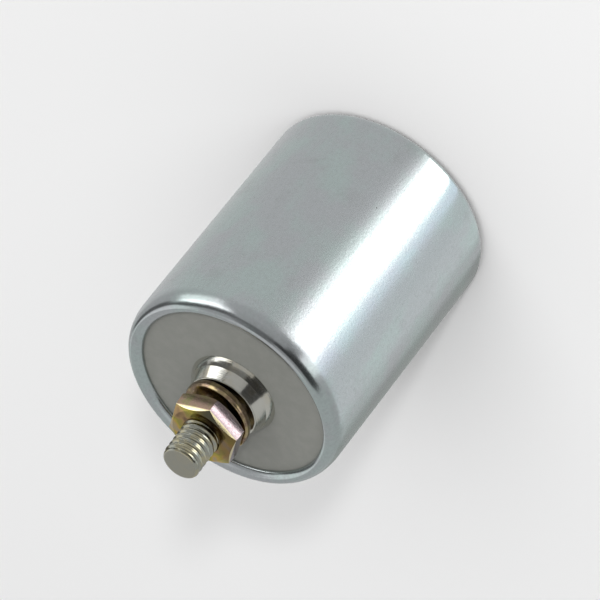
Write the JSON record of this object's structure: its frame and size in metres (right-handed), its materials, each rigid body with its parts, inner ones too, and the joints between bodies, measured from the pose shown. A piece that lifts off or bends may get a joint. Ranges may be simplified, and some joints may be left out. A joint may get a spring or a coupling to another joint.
{
  "type": "ignition condenser",
  "caption": "Round plated ignition condenser: a metal can with a grey insulating disc in its rolled mouth and a threaded terminal stud with bush, spring washer and nut.",
  "frame": {"origin": "middle of the can's closed end, on the face it stands on", "axes": "+Z along the can's axis towards the stud's tip"},
  "size_m": [0.024, 0.024, 0.0394],
  "materials": {
    "can_zinc": "satin",
    "grey_rubber": "matte",
    "hard_paper": "satin",
    "hub_nickel": "gloss",
    "washer_passivated": "satin",
    "nut_passivated": "satin",
    "stud_zinc": "satin",
    "inner_steel": "satin",
    "tinned_copper": "satin",
    "tinned_brass": "satin",
    "card": "matte",
    "spray_metal": "matte",
    "foil_roll": "satin",
    "kraft_paper": "matte",
    "wax": "satin",
    "spring_steel": "satin"
  },
  "bodies": {
    "root": {"can": "can_zinc", "seal_disc": "grey_rubber", "board_disc": "hard_paper", "terminal_hub": "hub_nickel", "spring_washer": "washer_passivated", "hex_nut": "nut_passivated", "terminal_stud": "stud_zinc", "inner_washer": "inner_steel", "lead_strip": "tinned_copper", "live_plate": "tinned_brass", "top_card": "card", "live_spray": "spray_metal", "winding": "foil_roll", "winding_core": "card", "winding_wrap": "kraft_paper", "wax_layer": "wax", "lining_tube": "card", "earth_spray": "spray_metal", "earth_plate": "tinned_brass", "contact_spring": "spring_steel"}
  },
  "joints": []
}
